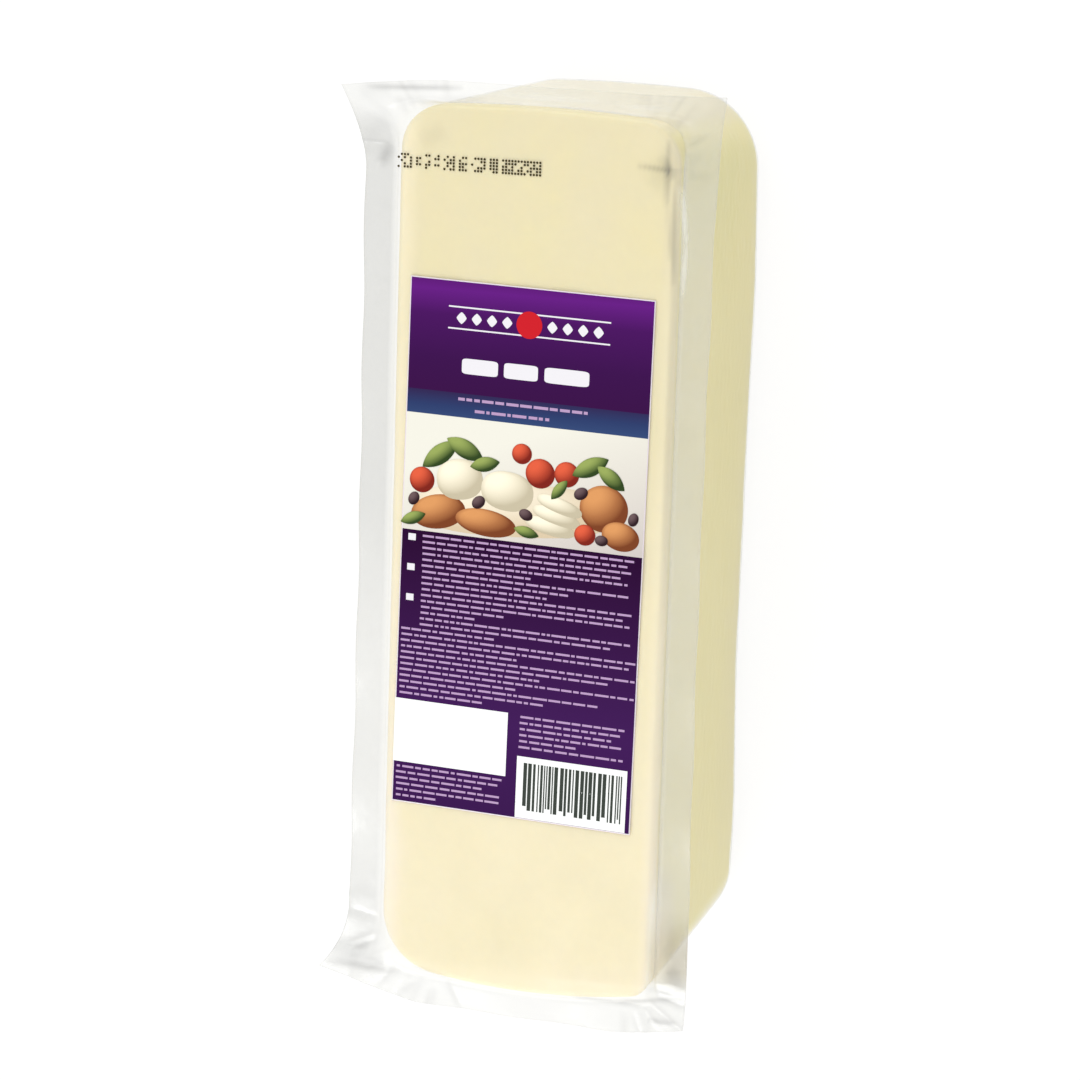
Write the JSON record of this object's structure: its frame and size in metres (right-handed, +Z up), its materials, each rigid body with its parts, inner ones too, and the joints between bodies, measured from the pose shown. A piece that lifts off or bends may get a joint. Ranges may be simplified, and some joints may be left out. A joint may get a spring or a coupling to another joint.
{
  "type": "mozzarella loaf",
  "caption": "Long pressed mozzarella loaf, vacuum-packed in clear film with a welded edge round its face and a printed label; it lies flat on its back for storing and slicing.",
  "frame": {"origin": "middle of the flat back that the pack rests on", "axes": "+X across the labelled face, +Y along it towards the top end of the label, +Z up out of the labelled face"},
  "size_m": [0.133, 0.305, 0.0902],
  "materials": {
    "cheese": "smooth, moist, under clinging clear film",
    "film": "clear glossy packing film",
    "label": "printed film label, satin"
  },
  "bodies": {
    "root": {"cheese_loaf": "cheese", "film_flange": "film", "label": "label"}
  },
  "joints": []
}
